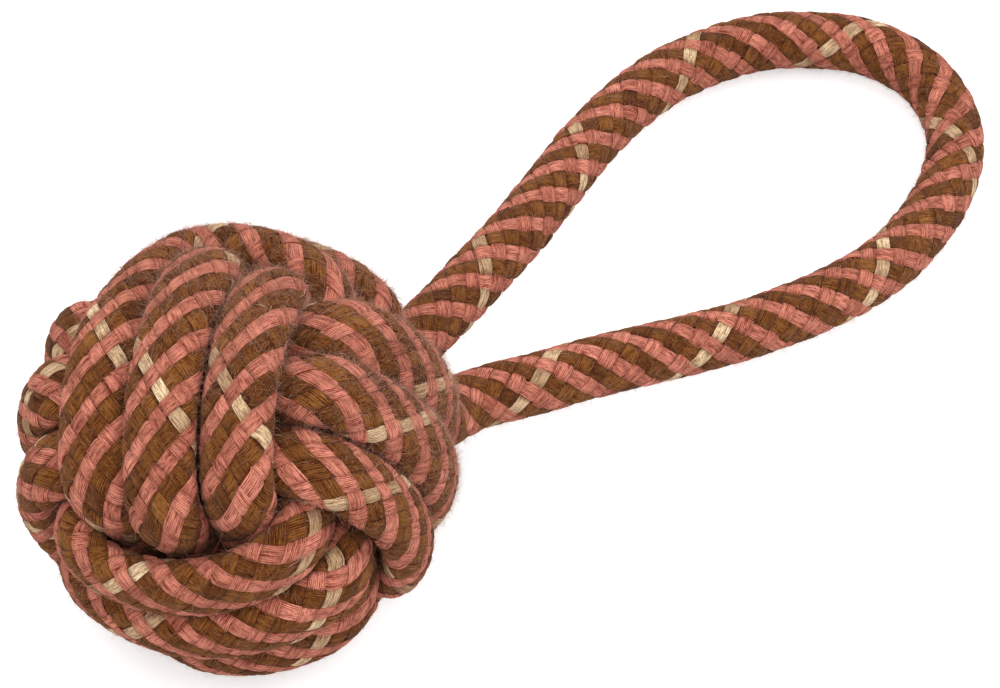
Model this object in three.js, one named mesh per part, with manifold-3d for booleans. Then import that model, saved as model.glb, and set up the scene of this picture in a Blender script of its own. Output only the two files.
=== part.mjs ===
// Rope dog toy: one braided rope wound into a ball knot round a core ball, ending in a loop handle.
// Millimetres, +Z up. The toy lies on Z = 0 with the middle of the ball's resting face at the origin,
// and the handle lies along +X.
import * as THREE from "three";
import { mergeVertices } from "three/addons/utils/BufferGeometryUtils.js";
import Module from "manifold-3d";

// The rope as it runs round in the handle
const ropeDiameter = 12.4;
const ropeSides = 10;
const ropeStep = 8;

// The same rope where the knot presses it flat, and its width where it runs squeezed under others
const strandWidth = 13.2;
const squeezedWidth = 9;
const strandThickness = 9.2;
const strandSides = 8;
const strandStep = 5.2;

// Room between strands: side by side, over and under, on the core and where two stretches meet
const strandSpace = 1;
const layerSpace = 3.05;
const coreSpace = 0.7;
const endSpace = 0.3;

// How finely the core ball is faceted
const coreSides = 24;
const coreRings = 16;

// How late a strand takes its full width on its way out to the surface, as a power
const swellFactor = 4.8;

// How far the inner strands lie outside the three crossing strands' half width
const cageSlack = 5.8;

// How far the outer lanes ride above the sphere of the middle lane
const sideRise = 0.25;

// How sharply a strand dives from the outer to the inner layer, and how late, for middle and side lanes
const middleDive = { steepFactor: 5.55, lateFactor: 0.222 };
const sideDive = { steepFactor: 3.68, lateFactor: 0.09 };

// The second winding's outer pass on one face lies off the ball's middle, and the first winding dives
// earlier at the corner that this pass is pulled over
const pulledOver = 6;
const earlyFactor = 0.154;

// In turns: the middle of a winding's last outer pass, where it shifts to the next lane under the
// strands that cross it, and how long a shift takes
const lastPassTurn = 2.5;
const laneShiftTurns = [0.75, 1.75];
const shiftTurn = 0.28;

// Where the rope's first end lies in the knot's corner, in turns before the middle of the first pass
const tailTurn = 0.125;

// Where one winding leaves its last outer pass for the next winding, how wide that bend swings and
// the strand's width half way along it
const crossTurn = 0.01;
const crossReach = 13.5;
const crossWidth = 12.4;

// The toy lies on its lowest strand this far from the middle of the strand's pass, rolled this much
// off the strand's crown, and the knot is turned this much about the upright
const restShift = 7.6;
const restLean = THREE.MathUtils.degToRad(3.6);
const knotYaw = THREE.MathUtils.degToRad(-6);

// The ball and the handle's tip are pressed flat where they lie on the ground
const flatDepth = ropeDiameter / 10;

// The handle slopes down from the ball's centre to the ground; its plane is tilted by this angle
const handleDroop = THREE.MathUtils.degToRad(10.78);

// How far the handle's centreline reaches beyond the ball
const handleLength = 154.3;

// The handle's route in its plane: along the handle from the ball's surface, and across it. The
// lengths along it are those of a handle whose tip is at the list's largest one.
const handleRoute = [
  [9.5, -13.4], [19.5, -15.6], [34.5, -18.4], [49, -21.8], [64.5, -25.3], [82.5, -27.6],
  [98.5, -27.8], [110.5, -26.3], [121.5, -23], [132.5, -18.2], [142, -12], [149, -4.8],
  [153, 3.2], [154.3, 10], [153.1, 17], [149, 24.3], [141.5, 30.4], [133.5, 34.6],
  [124.5, 37.2], [114.5, 38.3], [103.5, 38.2], [90.5, 35.9], [77, 31.8], [64, 26.6],
  [53.5, 22.1], [43, 17.8], [31, 13.6], [20, 9.7], [9.5, 6.4], [1.5, 3.8], [-4, 1.8],
];
const routeLength = Math.max(...handleRoute.map(([along]) => along));

// The last winding's end runs on straight a little, then bends out into the handle's lower leg
const leaveTurn = 0.045;
const leaveRun = 3;
const leaveReach = 9;

// The handle bends this far beyond the ball and again half way along; each bend takes this length
const rootBendAt = 17.5;
const foldBendAt = 72.5;
const bendLength = 16;

// Sizes that follow from those above
const outerPitch = strandWidth + strandSpace;
const innerPitch = squeezedWidth + strandSpace;
const halfCage = 1.5 * innerPitch;
const innerMiddle = halfCage + strandThickness / 2 + cageSlack;
const outerMiddle = innerMiddle + strandThickness + layerSpace;
const ballRadius = outerMiddle + strandThickness / 2;
const outerSide = Math.sqrt(outerMiddle ** 2 - outerPitch ** 2) + sideRise;
const coreRadius = innerMiddle - strandThickness / 2 - coreSpace;

const ropeMaterial = new THREE.MeshStandardMaterial({ color: 0x9c6450, roughness: 0.95, metalness: 0 });
const coreMaterial = new THREE.MeshStandardMaterial({ color: 0x4a4642, roughness: 0.8, metalness: 0 });

const wasm = await Module();
wasm.setup();

// The knot's own axes: each winding has two opposite outer faces, and the handle leaves at one corner.
// The toy lies on the first winding's last lane, whose strand runs across the third axis there.
const restMiddle = new THREE.Vector3(
  -Math.sqrt(outerSide ** 2 - restShift ** 2), restShift, -outerPitch,
);
const strandAxis = new THREE.Vector3(0, 1, 0);
const acrossStrand = new THREE.Vector3(0, 0, 1);
const knotUp = restMiddle.clone().negate().normalize().applyAxisAngle(strandAxis, restLean);
const handleCorner = new THREE.Vector3(-1, -1, 1).normalize();
const alongHandle = handleCorner.clone()
  .addScaledVector(knotUp, -handleCorner.dot(knotUp))
  .normalize()
  .applyAxisAngle(knotUp, -knotYaw);
const acrossHandle = knotUp.clone().cross(alongHandle);

// The lowest point of that strand's oval section, from which the ball's centre is placed
const leanAcross = knotUp.dot(acrossStrand);
const leanOutwards = Math.sqrt(1 - leanAcross ** 2);
const restReach = Math.hypot((strandWidth / 2) * leanAcross, (strandThickness / 2) * leanOutwards);
const outwardsAtRest = new THREE.Vector3(restMiddle.x, restMiddle.y, 0).normalize();
const restPoint = restMiddle.clone()
  .addScaledVector(acrossStrand, -((strandWidth / 2) ** 2 * leanAcross) / restReach)
  .addScaledVector(outwardsAtRest, ((strandThickness / 2) ** 2 * leanOutwards) / restReach);
const ballCentre = new THREE.Vector3(
  -restPoint.dot(alongHandle), -restPoint.dot(acrossHandle), -restPoint.dot(knotUp) - flatDepth,
);
const knotToPart = new THREE.Matrix4()
  .makeBasis(alongHandle, acrossHandle, knotUp)
  .transpose()
  .setPosition(ballCentre);

// A winding's point in its own plane turned into the knot's axes; each winding takes the next axis
function onAxes(winding, first, second, third) {
  const orders = [[first, second, third], [third, first, second], [second, third, first]];
  return new THREE.Vector3(...orders[winding]);
}

// The lane from 1 to -1 that a winding lies in after so many turns
function laneAfter(turn) {
  const half = shiftTurn / 2;
  const { smoothstep } = THREE.MathUtils;
  return laneShiftTurns.reduce((lane, middle) => lane - smoothstep(turn, middle - half, middle + half), 1);
}

// How far out a winding lies after so many turns: 1 on its two outer faces, 0 on the two between them
function outerShare(winding, turn) {
  const { lerp } = THREE.MathUtils;
  const side = Math.abs(laneAfter(turn));
  const sharpness = lerp(middleDive.steepFactor, sideDive.steepFactor, side);
  const lag = lerp(middleDive.lateFactor, sideDive.lateFactor, side);
  const angle = Math.PI * (1 - 2 * turn);
  const early = winding === 0 ? earlyFactor * Math.cos(angle) * (1 - Math.sin(angle)) : 0;
  const dive = (cosine) => Math.tanh(sharpness * (cosine + lag - early));
  return (dive(Math.cos(2 * angle)) - dive(-1)) / (dive(1) - dive(-1));
}

// A point of a winding in the knot's axes
function windingPoint(winding, turn) {
  const { lerp } = THREE.MathUtils;
  const lane = laneAfter(turn);
  const side = Math.abs(lane);
  const angle = Math.PI * (1 - 2 * turn);
  const share = outerShare(winding, turn);
  const pulled = winding === 1 ? pulledOver * share * (1 - Math.cos(angle)) / 2 : 0;
  const offset = lane * lerp(innerPitch, outerPitch, share) + pulled;
  const outer = Math.sqrt(outerMiddle ** 2 - offset ** 2) + sideRise * side;
  const inner = Math.sqrt(innerMiddle ** 2 - offset ** 2);
  const radius = lerp(inner, outer, share);
  return onAxes(winding, radius * Math.cos(angle), radius * Math.sin(angle), offset);
}

function windingTangent(winding, turn) {
  const small = 1e-4;
  const ahead = windingPoint(winding, turn + small);
  return ahead.sub(windingPoint(winding, turn - small)).normalize();
}

// The stretch of rope that leads from one winding's last pass to the next winding's first
function crossing(winding) {
  const last = lastPassTurn + crossTurn;
  const from = windingPoint(winding, last);
  const to = windingPoint(winding + 1, -crossTurn);
  return new THREE.CubicBezierCurve3(
    from,
    from.clone().addScaledVector(windingTangent(winding, last), crossReach),
    to.clone().addScaledVector(windingTangent(winding + 1, -crossTurn), -crossReach),
    to,
  );
}

// A winding's route: points with the direction across the strand, close together, in the part's axes
function windingRoute(winding) {
  const route = [];
  const add = (point, across, width) => route.push({
    point: point.applyMatrix4(knotToPart),
    across: across.transformDirection(knotToPart),
    width,
  });
  const across = onAxes(winding, 0, 0, 1);
  const samples = 40;
  const addCrossing = (before, from, to) => {
    const curve = crossing(before);
    for (let i = 1; i < samples; i++) {
      const share = from + (to - from) * (i / samples);
      const turned = onAxes(before, 0, 0, 1).lerp(onAxes(before + 1, 0, 0, 1), share);
      const width = THREE.MathUtils.lerp(strandWidth, crossWidth, 4 * share * (1 - share));
      add(curve.getPoint(share), turned, width);
    }
  };
  let first = -tailTurn;
  let last = lastPassTurn + crossTurn;
  if (winding > 0) {
    first = -crossTurn;
    addCrossing(winding - 1, 0.5, 1);
  }
  if (winding === 2) last = lastPassTurn + leaveTurn;
  const count = Math.round((last - first) * 360);
  for (let i = 0; i <= count; i++) {
    const turn = first + (last - first) * (i / count);
    const width = THREE.MathUtils.lerp(squeezedWidth, strandWidth, outerShare(winding, turn) ** swellFactor);
    add(windingPoint(winding, turn), across.clone(), width);
  }
  if (winding < 2) addCrossing(winding, 0, 0.5);
  return route;
}

// Evenly spaced places along a route, each with its point, its tangent and the direction across
function evenly(route, step, trimStart, trimEnd) {
  const lengths = [0];
  for (let i = 1; i < route.length; i++) {
    lengths.push(lengths[i - 1] + route[i].point.distanceTo(route[i - 1].point));
  }
  const total = lengths[lengths.length - 1];
  const at = (length) => {
    let i = lengths.findIndex((reached) => reached >= length);
    i = THREE.MathUtils.clamp(i < 0 ? route.length - 1 : i, 1, route.length - 1);
    const share = (length - lengths[i - 1]) / (lengths[i] - lengths[i - 1]);
    return {
      point: route[i - 1].point.clone().lerp(route[i].point, share),
      across: route[i - 1].across.clone().lerp(route[i].across, share),
      width: THREE.MathUtils.lerp(route[i - 1].width, route[i].width, share),
    };
  };
  const near = 0.5;
  const span = total - trimStart - trimEnd;
  const count = Math.ceil(span / step);
  const places = [];
  for (let i = 0; i <= count; i++) {
    const length = trimStart + span * (i / count);
    const place = at(length);
    const ahead = at(Math.min(length + near, total)).point;
    const behind = at(Math.max(length - near, 0)).point;
    place.tangent = ahead.sub(behind).normalize();
    places.push(place);
  }
  return places;
}

// The corners of a pressed strand's section at a place, with some room added all round
function sectionAt(place, room, sides) {
  const outwards = place.across.clone().cross(place.tangent).normalize();
  const across = place.tangent.clone().cross(outwards);
  const corners = [];
  for (let i = 0; i < sides; i++) {
    const angle = (2 * Math.PI * (i + 0.5)) / sides;
    corners.push(
      place.point.clone()
        .addScaledVector(across, (place.width / 2 + room) * Math.cos(angle))
        .addScaledVector(outwards, (strandThickness / 2 + room) * Math.sin(angle)),
    );
  }
  return corners;
}

// A closed tube of pressed strand through sections at the given places
function strandTube(places, room = 0) {
  const positions = [];
  const triangles = [];
  const rings = places.map((place) => sectionAt(place, room, strandSides));
  for (const corner of rings.flat()) positions.push(...corner.toArray());
  for (let ring = 0; ring + 1 < rings.length; ring++) {
    for (let i = 0; i < strandSides; i++) {
      const a = ring * strandSides + i;
      const b = ring * strandSides + ((i + 1) % strandSides);
      triangles.push(a, a + strandSides, b, b, a + strandSides, b + strandSides);
    }
  }
  const end = (rings.length - 1) * strandSides;
  for (let i = 1; i + 1 < strandSides; i++) {
    triangles.push(0, i, i + 1);
    triangles.push(end, end + i + 1, end + i);
  }
  const geometry = new THREE.BufferGeometry();
  geometry.setAttribute("position", new THREE.Float32BufferAttribute(positions, 3));
  geometry.setIndex(triangles);
  return geometry;
}

// The least gap of a wound strand to itself, on points of its surface a few turns apart
function leastGap(route) {
  const spacing = 2;
  const apart = Math.ceil((3 * strandWidth) / spacing);
  const rings = evenly(route, spacing, 0, 0).map(
    (place) => sectionAt(place, 0, 2 * strandSides),
  );
  let least = Infinity;
  for (let i = 0; i < rings.length; i++) {
    for (let j = i + apart; j < rings.length; j++) {
      for (const a of rings[i]) {
        for (const b of rings[j]) least = Math.min(least, a.distanceToSquared(b));
      }
    }
  }
  return Math.sqrt(least);
}

function toSolid(geometry) {
  const bare = geometry.clone();
  bare.deleteAttribute("normal");
  bare.deleteAttribute("uv");
  const merged = mergeVertices(bare);
  return new wasm.Manifold(new wasm.Mesh({
    numProp: 3,
    vertProperties: new Float32Array(merged.attributes.position.array),
    triVerts: new Uint32Array(merged.index.array),
  }));
}

function toGeometry(solid) {
  const mesh = solid.getMesh();
  const geometry = new THREE.BufferGeometry();
  geometry.setAttribute("position", new THREE.BufferAttribute(mesh.vertProperties, 3));
  geometry.setIndex(new THREE.BufferAttribute(mesh.triVerts, 1));
  return geometry;
}

// The geometry without what reaches below the ground
function pressedFlat(geometry) {
  geometry.computeBoundingBox();
  const box = geometry.boundingBox;
  const size = box.getSize(new THREE.Vector3()).addScalar(2 * ropeDiameter);
  const middle = box.getCenter(new THREE.Vector3());
  const ground = new THREE.BoxGeometry(size.x, size.y, size.z);
  ground.translate(middle.x, middle.y, -size.z / 2);
  return toGeometry(toSolid(geometry).subtract(toSolid(ground)));
}

const toy = new THREE.Group();

function addPiece(name, geometry, material) {
  const mesh = new THREE.Mesh(geometry, material);
  mesh.name = name;
  toy.add(mesh);
}

// Core ball
const core = new THREE.SphereGeometry(coreRadius, coreSides, coreRings);
core.translate(...ballCentre.toArray());
addPiece("core_ball", core, coreMaterial);

// Windings
const windingNames = ["first_winding", "second_winding", "third_winding"];
const routes = windingNames.map((name, winding) => windingRoute(winding));
windingNames.forEach((name, winding) => {
  const meets = endSpace / 2;
  const places = evenly(routes[winding], strandStep, winding === 0 ? endSpace : meets, meets);
  const tube = strandTube(places);
  addPiece(name, winding === 0 ? pressedFlat(tube) : tube, ropeMaterial);
  console.log(`${name} least gap to itself ${leastGap(routes[winding]).toFixed(2)} mm`);
});

// The handle's route in the part's axes
function inHandlePlane([along, across]) {
  const reach = ballRadius + along * (handleLength / routeLength);
  return new THREE.Vector3(reach * Math.cos(handleDroop), across, -reach * Math.sin(handleDroop))
    .add(ballCentre);
}

// The bend that leads from the last winding's end out to the handle's first point
function leavingBend() {
  const start = routes[2][routes[2].length - 1].point;
  const heading = windingTangent(2, lastPassTurn + leaveTurn).transformDirection(knotToPart);
  const [end, next] = handleRoute.slice(0, 2).map(inHandlePlane);
  const leaving = next.clone().sub(end).normalize();
  const turning = start.clone().addScaledVector(heading, leaveRun);
  const bend = new THREE.CubicBezierCurve3(
    turning,
    turning.clone().addScaledVector(heading, leaveReach),
    end.clone().addScaledVector(leaving, -leaveReach),
    end,
  );
  return [start, ...bend.getPoints(5).slice(0, -1)];
}

const handle = new THREE.CatmullRomCurve3([...leavingBend(), ...handleRoute.map(inHandlePlane)]);
handle.arcLengthDivisions = 800;

// A stretch of the handle between two shares of its length
class Stretch extends THREE.Curve {
  constructor(from, to) {
    super();
    this.from = from;
    this.to = to;
  }

  getPoint(share, target = new THREE.Vector3()) {
    return handle.getPointAt(this.from + (this.to - this.from) * share, target);
  }
}

// Shares of the handle's length where its two legs pass a place along the handle
function sharesAt(along) {
  const samples = 2000;
  const passes = [];
  const alongAt = (share) => (
    (handle.getPointAt(share).x - ballCentre.x) / Math.cos(handleDroop) - ballRadius
  );
  for (let i = 0; i < samples; i++) {
    const here = alongAt(i / samples);
    const there = alongAt((i + 1) / samples);
    if ((here - along) * (there - along) <= 0) passes.push((i + 0.5) / samples);
  }
  return [passes[0], passes[passes.length - 1]];
}

const ropeSection = new THREE.Shape(
  Array.from({ length: ropeSides }, (unused, i) => {
    const angle = (2 * Math.PI * (i + 0.5)) / ropeSides;
    return new THREE.Vector2(Math.cos(angle), Math.sin(angle)).multiplyScalar(ropeDiameter / 2);
  }),
);

function ropeTube(from, to) {
  const half = endSpace / 2 / handle.getLength();
  const stretch = new Stretch(from + half, to - half);
  const steps = Math.max(2, Math.ceil(stretch.getLength() / ropeStep));
  return new THREE.ExtrudeGeometry(ropeSection, { steps, bevelEnabled: false, extrudePath: stretch });
}

const [lowerRootStart, upperRootEnd] = sharesAt(rootBendAt - bendLength / 2);
const [lowerRootEnd, upperRootStart] = sharesAt(rootBendAt + bendLength / 2);
const [lowerFoldStart, upperFoldEnd] = sharesAt(foldBendAt - bendLength / 2);
const [lowerFoldEnd, upperFoldStart] = sharesAt(foldBendAt + bendLength / 2);

// The upper leg's root ends among the strands at the knot's corner, shaped round them
function upperRoot() {
  let root = toSolid(ropeTube(upperRootEnd, 1));
  for (const route of routes) {
    const places = evenly(route, strandStep, 0, 0);
    root = root.subtract(toSolid(strandTube(places, endSpace)));
  }
  return toGeometry(root);
}

addPiece("lower_leg_root", ropeTube(0, lowerRootStart), ropeMaterial);
addPiece("lower_root_bend", ropeTube(lowerRootStart, lowerRootEnd), ropeMaterial);
addPiece("lower_leg", ropeTube(lowerRootEnd, lowerFoldStart), ropeMaterial);
addPiece("lower_fold_bend", ropeTube(lowerFoldStart, lowerFoldEnd), ropeMaterial);
addPiece("loop_bow", pressedFlat(ropeTube(lowerFoldEnd, upperFoldStart)), ropeMaterial);
addPiece("upper_fold_bend", ropeTube(upperFoldStart, upperFoldEnd), ropeMaterial);
addPiece("upper_leg", ropeTube(upperFoldEnd, upperRootStart), ropeMaterial);
addPiece("upper_root_bend", ropeTube(upperRootStart, upperRootEnd), ropeMaterial);
addPiece("upper_leg_root", upperRoot(), ropeMaterial);

export default toy;
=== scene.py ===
"""Rope dog toy: the braid, the loose fibres and the studio for a ball knot with a loop handle."""

import math

import bpy
import numpy as np
from bpy.props import FloatProperty, FloatVectorProperty, IntProperty, PointerProperty
from mathutils import Matrix, Vector


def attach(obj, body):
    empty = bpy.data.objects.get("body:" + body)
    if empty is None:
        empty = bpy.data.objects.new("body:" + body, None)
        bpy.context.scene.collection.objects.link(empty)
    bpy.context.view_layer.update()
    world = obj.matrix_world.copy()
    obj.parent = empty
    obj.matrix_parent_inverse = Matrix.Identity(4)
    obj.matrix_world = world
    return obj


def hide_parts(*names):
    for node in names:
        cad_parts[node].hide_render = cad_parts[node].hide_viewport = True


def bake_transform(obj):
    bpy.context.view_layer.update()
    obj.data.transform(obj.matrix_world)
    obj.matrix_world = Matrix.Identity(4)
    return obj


bl_info = {
    "name": "Braided rope dog toy",
    "version": (1, 0, 0),
    "blender": (4, 5, 0),
    "location": "View3D > Sidebar > Rope Toy",
    "description": "Dresses the ball knot and its loop handle with a two-colour cotton braid",
    "category": "Object",
}

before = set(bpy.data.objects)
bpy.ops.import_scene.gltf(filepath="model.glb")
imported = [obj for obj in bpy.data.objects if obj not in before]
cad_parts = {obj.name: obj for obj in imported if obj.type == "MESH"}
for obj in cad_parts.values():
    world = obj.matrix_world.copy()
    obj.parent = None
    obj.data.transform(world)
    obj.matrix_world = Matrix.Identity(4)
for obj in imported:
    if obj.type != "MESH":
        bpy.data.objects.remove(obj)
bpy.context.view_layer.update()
MM = 0.001

# Sizes of the knot and handle, the same as the solids' own: millimetres, turns and radians
ROPE_DIAMETER = 12.4
STRAND_WIDTH = 13.2
SQUEEZED_WIDTH = 9
STRAND_THICKNESS = 9.2
STRAND_SPACE = 1
LAYER_SPACE = 3.05
CAGE_SLACK = 5.8
SIDE_RISE = 0.25
MIDDLE_DIVE = (5.55, 0.222)
SIDE_DIVE = (3.68, 0.09)
PULLED_OVER = 6
EARLY_FACTOR = 0.154
LAST_PASS = 2.5
LANE_SHIFTS = (0.75, 1.75)
SHIFT_TURN = 0.28
TAIL_TURN = 0.125
CROSS_TURN = 0.01
CROSS_REACH = 13.5
REST_SHIFT = 7.6
REST_LEAN = math.radians(3.6)
KNOT_YAW = math.radians(-6)
FLAT_DEPTH = ROPE_DIAMETER / 10
LEAVE_TURN = 0.045
LEAVE_RUN = 3
LEAVE_REACH = 9
HANDLE_DROOP = math.radians(10.78)
HANDLE_ROUTE = [
    (9.5, -13.4), (19.5, -15.6), (34.5, -18.4), (49, -21.8), (64.5, -25.3), (82.5, -27.6),
    (98.5, -27.8), (110.5, -26.3), (121.5, -23), (132.5, -18.2), (142, -12), (149, -4.8),
    (153, 3.2), (154.3, 10), (153.1, 17), (149, 24.3), (141.5, 30.4), (133.5, 34.6),
    (124.5, 37.2), (114.5, 38.3), (103.5, 38.2), (90.5, 35.9), (77, 31.8), (64, 26.6),
    (53.5, 22.1), (43, 17.8), (31, 13.6), (20, 9.7), (9.5, 6.4), (1.5, 3.8), (-4, 1.8),
]
# The upper leg's end runs on among the strands, out of sight, in the same plane
TUCKED_END = [(-9.5, -0.2), (-15, -2.2)]
ROOT_BEND_AT = 17.5
FOLD_BEND_AT = 72.5
BEND_LENGTH = 16

# Sizes that follow from those above
OUTER_PITCH = STRAND_WIDTH + STRAND_SPACE
INNER_PITCH = SQUEEZED_WIDTH + STRAND_SPACE
INNER = 1.5 * INNER_PITCH + STRAND_THICKNESS / 2 + CAGE_SLACK
OUTER = INNER + STRAND_THICKNESS + LAYER_SPACE
BALL_RADIUS = OUTER + STRAND_THICKNESS / 2
OUTER_SIDE = math.sqrt(OUTER**2 - OUTER_PITCH**2) + SIDE_RISE

# Carriers that lay yarn in each direction round the rope
CARRIERS = 8

# Points in a turn, a crossing and the way out, and samples to each side that even them out
TURN_STEPS = 400
CROSS_STEPS = 82
LEAVE_STEPS = 6
CENTRE_EVENED = 5
SIDEWAYS_EVENED = 9

# The flat rope grows round from before the knot's end to beyond it, in millimetres
ROUND_BEFORE = 10
ROUND_BEYOND = 12

# Headings that differ by less than this, squared, count as straight
STRAIGHT = 1e-18


class RopeSettings(bpy.types.PropertyGroup):
    """The rope's braid and its yarns."""

    fullness: FloatProperty(
        name="Fullness", description="Width of the braid in the knot beside that of its solid",
        default=1.09)
    squeezed_width: FloatProperty(
        name="Squeezed width", description="Width of the braid where it runs under other strands",
        default=13.3 * MM, unit="LENGTH")
    strand_thickness: FloatProperty(
        name="Strand thickness", description="Thickness of the rope pressed in the knot",
        default=10.0 * MM, unit="LENGTH")
    squeezed_thickness: FloatProperty(
        name="Squeezed thickness", description="Thickness where it runs under other strands",
        default=14.6 * MM, unit="LENGTH")
    knot_lead: FloatProperty(
        name="Knot lead", description="Rope length in which a yarn goes once round, in the knot",
        default=37.5 * MM, unit="LENGTH")
    handle_lead: FloatProperty(
        name="Handle lead",
        description="Rope length in which a yarn goes once round, in the handle",
        default=42.0 * MM, unit="LENGTH")
    crimp: FloatProperty(
        name="Crimp", description="How far a yarn rises over and dips under the yarns it crosses",
        default=0.25 * MM, unit="LENGTH")
    handle_crimp: FloatProperty(
        name="Handle crimp",
        description="The same in the handle, where the braid is drawn straight",
        default=0.18 * MM, unit="LENGTH")
    crown: FloatProperty(
        name="Crown", description="How far a flat yarn's edges lie below its middle",
        default=0.20 * MM, unit="LENGTH")
    # Painted shade where a yarn dips under the next
    end_shade: FloatProperty(
        name="End shade", description="How much darker a yarn is where it dips under the next",
        default=0.8)
    knot_fibres: FloatProperty(
        name="Knot fibres", description="Loose fibres on each millimetre of rope in the knot",
        default=130.0)
    handle_fibres: FloatProperty(
        name="Handle fibres", description="Loose fibres on each millimetre of rope in the handle",
        default=14.0)
    plies: IntProperty(
        name="Plies", description="Fine threads that lie side by side in one flat yarn", default=9)
    rose: FloatVectorProperty(
        name="Rose yarn", description="Colour of the rose yarns", subtype="COLOR", size=3,
        default=(0.56, 0.178, 0.113))
    brown: FloatVectorProperty(
        name="Brown yarn", description="Colour of the brown yarns", subtype="COLOR", size=3,
        default=(0.174, 0.0545, 0.0095))
    cream: FloatVectorProperty(
        name="Cream yarn", description="Colour of the one cream yarn", subtype="COLOR", size=3,
        default=(0.65, 0.43, 0.24))
    fluff: FloatVectorProperty(
        name="Fluff", description="Colour that the short loose fibres fade to", subtype="COLOR",
        size=3, default=(0.62, 0.38, 0.29))
    lint: FloatVectorProperty(
        name="Lint", description="Colour of loose pale fibres", subtype="COLOR", size=3,
        default=(0.72, 0.56, 0.46))


class StudioSettings(bpy.types.PropertyGroup):
    """The camera and the light."""

    camera_place: FloatVectorProperty(
        name="Camera", description="Where the camera stands", subtype="XYZ", unit="LENGTH",
        default=(-0.3178, -0.4132, 0.7755))
    camera_target: FloatVectorProperty(
        name="Target", description="The point in the middle of the picture", subtype="XYZ",
        unit="LENGTH", default=(0.0699, -0.0012, 0.0194))
    camera_roll: FloatProperty(
        name="Roll", description="How far the camera is turned about its own axis", subtype="ANGLE",
        default=math.radians(5.26))
    lens: FloatProperty(name="Lens", description="Focal length in millimetres", default=169.3)


# The rope's centreline

def on_axes(winding, first, second, third):
    """A winding's own axes turned into the knot's: each winding takes the next axis."""
    orders = ((first, second, third), (third, first, second), (second, third, first))
    return np.stack(np.broadcast_arrays(*orders[winding]), -1).astype(float)


def smooth_step(value, low, high):
    share = np.clip((value - low) / (high - low), 0, 1)
    return share * share * (3 - 2 * share)


def lane_after(turn):
    """The lane from 1 to -1 that a winding lies in after so many turns."""
    half = SHIFT_TURN / 2
    return 1 - sum(smooth_step(turn, middle - half, middle + half) for middle in LANE_SHIFTS)


def outer_share(winding, turn):
    """How far out a winding lies: 1 on its two outer faces, 0 on the two between them."""
    side = np.abs(lane_after(turn))
    steep = MIDDLE_DIVE[0] + (SIDE_DIVE[0] - MIDDLE_DIVE[0]) * side
    late = MIDDLE_DIVE[1] + (SIDE_DIVE[1] - MIDDLE_DIVE[1]) * side
    angle = math.pi * (1 - 2 * turn)

    if winding == 0:
        late = late - EARLY_FACTOR * np.cos(angle) * (1 - np.sin(angle))

    def dive(cosine):
        return np.tanh(steep * (cosine + late))

    return (dive(np.cos(2 * angle)) - dive(-1)) / (dive(1) - dive(-1))


def winding_points(winding, turn):
    """Points of a winding after so many turns."""
    turn = np.asarray(turn, float)
    lane = lane_after(turn)
    side = np.abs(lane)
    share = outer_share(winding, turn)
    angle = math.pi * (1 - 2 * turn)
    offset = lane * (INNER_PITCH + (OUTER_PITCH - INNER_PITCH) * share)
    if winding == 1:
        offset = offset + PULLED_OVER * share * (1 - np.cos(angle)) / 2
    outer = np.sqrt(OUTER**2 - offset**2) + SIDE_RISE * side
    inner = np.sqrt(INNER**2 - offset**2)
    radius = inner + (outer - inner) * share
    return on_axes(winding, radius * np.cos(angle), radius * np.sin(angle), offset)


def winding_heading(winding, turn):
    near = 1e-4
    step = winding_points(winding, turn + near) - winding_points(winding, turn - near)
    return step / np.linalg.norm(step)


def bend_between(start, start_heading, end, end_heading, reach, count):
    """A smooth bend from one point and heading to another."""
    share = np.linspace(0, 1, count)[:, None]
    first = start + start_heading * reach
    second = end - end_heading * reach
    rest = 1 - share
    return (rest**3 * start + 3 * rest**2 * share * first
            + 3 * rest * share**2 * second + share**3 * end)


def through(points, per_span=24):
    """A smooth curve through points, its speed following the distances between them."""
    points = np.asarray(points, float)
    ends = 2 * points[[0, -1]] - points[[1, -2]]
    points = np.vstack([ends[:1], points, ends[1:]])
    knots = np.concatenate([[0], np.cumsum(np.linalg.norm(np.diff(points, axis=0), axis=1) ** 0.5)])
    curve = []
    for i in range(1, len(points) - 2):
        t0, t1, t2, t3 = knots[i - 1:i + 3]
        p0, p1, p2, p3 = points[i - 1:i + 3]
        t = np.linspace(t1, t2, per_span, endpoint=False)[:, None]
        a1 = (t1 - t) / (t1 - t0) * p0 + (t - t0) / (t1 - t0) * p1
        a2 = (t2 - t) / (t2 - t1) * p1 + (t - t1) / (t2 - t1) * p2
        a3 = (t3 - t) / (t3 - t2) * p2 + (t - t2) / (t3 - t2) * p3
        b1 = (t2 - t) / (t2 - t0) * a1 + (t - t0) / (t2 - t0) * a2
        b2 = (t3 - t) / (t3 - t1) * a2 + (t - t1) / (t3 - t1) * a3
        curve.append((t2 - t) / (t2 - t1) * b1 + (t - t1) / (t2 - t1) * b2)
    return np.vstack(curve + [points[-2:-1]])


def rest_on_ground():
    """The turn from the knot's axes to the part's, as rows, and the ball's centre."""
    lowest = np.array([-math.sqrt(OUTER_SIDE**2 - REST_SHIFT**2), REST_SHIFT, -OUTER_PITCH])
    lean = Matrix.Rotation(REST_LEAN, 3, "Y")
    up = lean @ Vector(-lowest).normalized()
    corner = Vector((-1, -1, 1)).normalized()
    along = Matrix.Rotation(-KNOT_YAW, 3, up) @ (corner - up * corner.dot(up)).normalized()
    axes = np.array([along, up.cross(along), up])
    outwards = math.sqrt(1 - up.z**2)
    half_width, half_thick = STRAND_WIDTH / 2, STRAND_THICKNESS / 2
    reach = math.hypot(half_width * up.z, half_thick * outwards)
    sideways = np.array([*lowest[:2], 0]) / math.hypot(*lowest[:2])
    touch = lowest + sideways * half_thick**2 * outwards / reach
    touch[2] -= half_width**2 * up.z / reach
    return axes, -axes @ touch - (0, 0, FLAT_DEPTH)


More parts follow.
